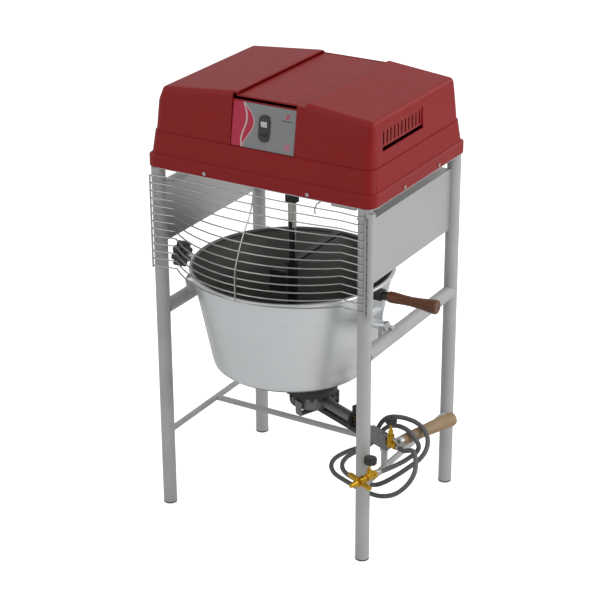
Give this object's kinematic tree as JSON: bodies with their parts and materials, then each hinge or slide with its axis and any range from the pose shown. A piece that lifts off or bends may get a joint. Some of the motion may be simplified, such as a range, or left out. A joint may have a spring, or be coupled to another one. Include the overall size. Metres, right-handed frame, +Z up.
{
  "type": "gas cooking mixer",
  "caption": "Floor-standing gas cooking mixer with a covered gearmotor, tilting open pot, paddle, hinged wire guard and swing-out burner on a hose.",
  "frame": {"origin": "on the floor, in the middle of the four foot hold-down holes", "axes": "X to the right seen from the front, Y to the back, Z up; the guard and control panel face -Y"},
  "size_m": [0.8184, 0.6487, 1.2499],
  "materials": {
    "frame_paint": "satin silver-grey paint on steel tube",
    "sheet": "brushed sheet steel",
    "black_plastic": "moulded black plastic",
    "black_iron": "dark grey cast iron, rough",
    "black_steel": "black paint on steel",
    "red_cover": "moulded red plastic, slight gloss",
    "panel_grey": "printed grey plate",
    "rocker_white": "white and black rocker",
    "bright_steel": "bright machined steel",
    "pot_alu": "spun aluminium with fine turning lines",
    "wire_steel": "bright plated wire",
    "dark_wood": "brown varnished turned wood",
    "pale_wood": "pale turned wood",
    "brass": "machined brass",
    "hose_rubber": "grey gas hose"
  },
  "bodies": {
    "stand": {"leg_front_left": "frame_paint", "leg_front_right": "frame_paint", "leg_rear_left": "frame_paint", "leg_rear_right": "frame_paint", "foot_caps": "black_plastic", "pot_rails": "frame_paint", "low_bars": "frame_paint", "cross_bar": "frame_paint", "side_shields": "sheet", "burner_post": "frame_paint", "top_tray": "sheet", "top_cover": "red_cover", "cover_screws": "bright_steel", "control_plate": "panel_grey", "switch_bezel": "black_plastic", "gearbox": "black_iron", "motor": "black_iron", "motor_cap": "black_iron", "cable_gland": "black_plastic", "drive_housing": "black_iron", "drive_bolts": "bright_steel", "guard_stay": "frame_paint", "guard_hinge_top": "frame_paint", "guard_hinge_bottom": "frame_paint", "pot_cradles": "frame_paint"},
    "rocker": {"rocker_switch": "rocker_white"},
    "drive": {"drive_shaft": "bright_steel", "drive_sleeve": "bright_steel"},
    "pot": {"pot": "pot_alu", "pot_stud": "bright_steel", "pot_bracket_left": "pot_alu", "pot_bracket_right": "pot_alu", "pin_caps": "bright_steel", "pot_handle_bracket": "black_steel", "pot_handle": "dark_wood", "pot_knob": "black_plastic", "pot_knob_stud": "bright_steel"},
    "agitator": {"agitator_bar": "black_steel", "agitator_rods": "bright_steel", "agitator_arm": "black_steel", "agitator_scraper": "black_steel", "agitator_blade": "pot_alu"},
    "guard": {"guard_wires": "wire_steel", "guard_tube": "frame_paint"},
    "burner": {"burner_arm": "black_steel", "burner_cup": "sheet", "burner_ring": "black_iron", "burner_brackets": "sheet", "burner_arm_box": "bright_steel", "burner_mixer_tube": "sheet", "gas_valve": "brass", "handle_nut": "bright_steel", "burner_handle": "pale_wood", "hose": "hose_rubber", "hose_fittings": "bright_steel", "bottle_valve": "brass"},
    "shutter": {"air_shutter": "black_steel"},
    "valve_knob": {"valve_knob": "black_plastic"},
    "bottle_knob": {"bottle_knob": "black_plastic"},
    "wing_nut": {"wing_nut": "brass"}
  },
  "joints": [
    {"name": "rocker_tilt", "type": "hinge", "parent": "stand", "child": "rocker", "pos_m": [0.012, -0.23592, 1.1684], "axis": [1, 0, 0], "range_deg": [-6, 6]},
    {"name": "drive_spin", "type": "hinge", "parent": "stand", "child": "drive", "pos_m": [0, -0.084, 0.95], "axis": [0, 0, 1], "continuous": true},
    {"name": "pot_tilt", "type": "hinge", "parent": "stand", "child": "pot", "pos_m": [0, -0.126, 0.642], "axis": [1, 0, 0], "range_deg": [0, 40]},
    {"name": "agitator_spin", "type": "hinge", "parent": "pot", "child": "agitator", "pos_m": [0, -0.084, 0.5], "axis": [0, 0, 1], "continuous": true},
    {"name": "guard_swing", "type": "hinge", "parent": "stand", "child": "guard", "pos_m": [0.34, -0.272, 0.86], "axis": [0, 0, 1], "range_deg": [0, 110]},
    {"name": "burner_swing", "type": "hinge", "parent": "stand", "child": "burner", "pos_m": [0.313, -0.13, 0.3], "axis": [0, 0, 1], "range_deg": [0, 30]},
    {"name": "shutter_turn", "type": "hinge", "parent": "burner", "child": "shutter", "pos_m": [0.19344, -0.08025, 0.316], "axis": [0.9233, -0.3842, 0], "range_deg": [-30, 30]},
    {"name": "valve_turn", "type": "hinge", "parent": "burner", "child": "valve_knob", "pos_m": [0.337, -0.13999, 0.382], "axis": [0, 0, 1], "range_deg": [0, 270]},
    {"name": "bottle_valve_turn", "type": "hinge", "parent": "burner", "child": "bottle_knob", "pos_m": [0.35057, -0.27966, 0.31942], "axis": [0, 0.1701, 0.9854], "range_deg": [0, 270]},
    {"name": "wing_nut_spin", "type": "hinge", "parent": "burner", "child": "wing_nut", "pos_m": [0.34873, -0.33209, 0.28585], "axis": [-0.04, -0.9846, 0.1699], "continuous": true}
  ],
  "couplings": [
    {"joint": "drive_spin", "follows": "agitator_spin", "ratio": 1}
  ]
}
